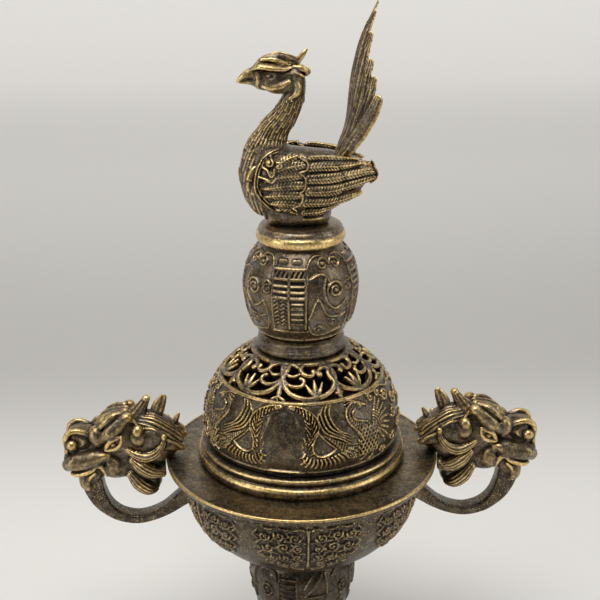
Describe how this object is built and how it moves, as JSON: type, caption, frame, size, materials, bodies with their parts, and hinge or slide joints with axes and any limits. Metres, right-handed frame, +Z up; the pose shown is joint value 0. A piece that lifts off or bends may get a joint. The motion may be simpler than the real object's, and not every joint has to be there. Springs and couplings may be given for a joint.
{
  "type": "incense burner",
  "caption": "Stemmed bronze incense burner with dragon-head handles, a lift-off pierced dome lid with a peacock finial and an ash liner.",
  "frame": {"origin": "centre of the foot's underside, on the surface the burner stands on", "axes": "+Z up along the stem; X along the two handles; -X the way the peacock looks; the long handle span is symmetric about the XZ plane"},
  "size_m": [0.2102, 0.12, 0.32],
  "materials": {
    "patinated_bronze": "dark brown-black patina, satin, speckled with rubbed gold",
    "rubbed_bronze": "dark patina with the raised relief rubbed back to gold",
    "gilt_bronze": "rubbed gold-coloured ring over a dark patina",
    "copper_liner": "dull heat-darkened copper",
    "steel_fasteners": "plain zinc-plated steel"
  },
  "bodies": {
    "base": {"foot": "patinated_bronze", "stem_collar": "gilt_bronze", "stem_knob": "patinated_bronze", "bowl": "patinated_bronze", "right_handle_arm": "patinated_bronze", "left_handle_arm": "patinated_bronze", "right_dragon_head": "rubbed_bronze", "left_dragon_head": "rubbed_bronze", "right_handle_screw": "steel_fasteners", "left_handle_screw": "steel_fasteners", "stem_bolt": "steel_fasteners", "stem_washer": "steel_fasteners", "stem_nut": "steel_fasteners"},
    "lid": {"lid_dome": "rubbed_bronze", "neck_ring": "patinated_bronze", "lid_ball": "patinated_bronze", "finial_pedestal": "gilt_bronze", "peacock_body": "rubbed_bronze", "peacock_tail": "rubbed_bronze", "lid_bolt": "steel_fasteners", "lid_washer": "steel_fasteners"},
    "liner": {"ash_liner": "copper_liner"}
  },
  "joints": [
    {"name": "lid_lift", "type": "slide", "parent": "base", "child": "lid", "axis": [0, 0, 1], "range_m": [0, 0.15]},
    {"name": "liner_lift", "type": "slide", "parent": "base", "child": "liner", "axis": [0, 0, 1], "range_m": [0, 0.06]}
  ],
  "couplings": [
    {"joint": "liner_lift", "follows": "lid_lift", "ratio": 0.4}
  ]
}
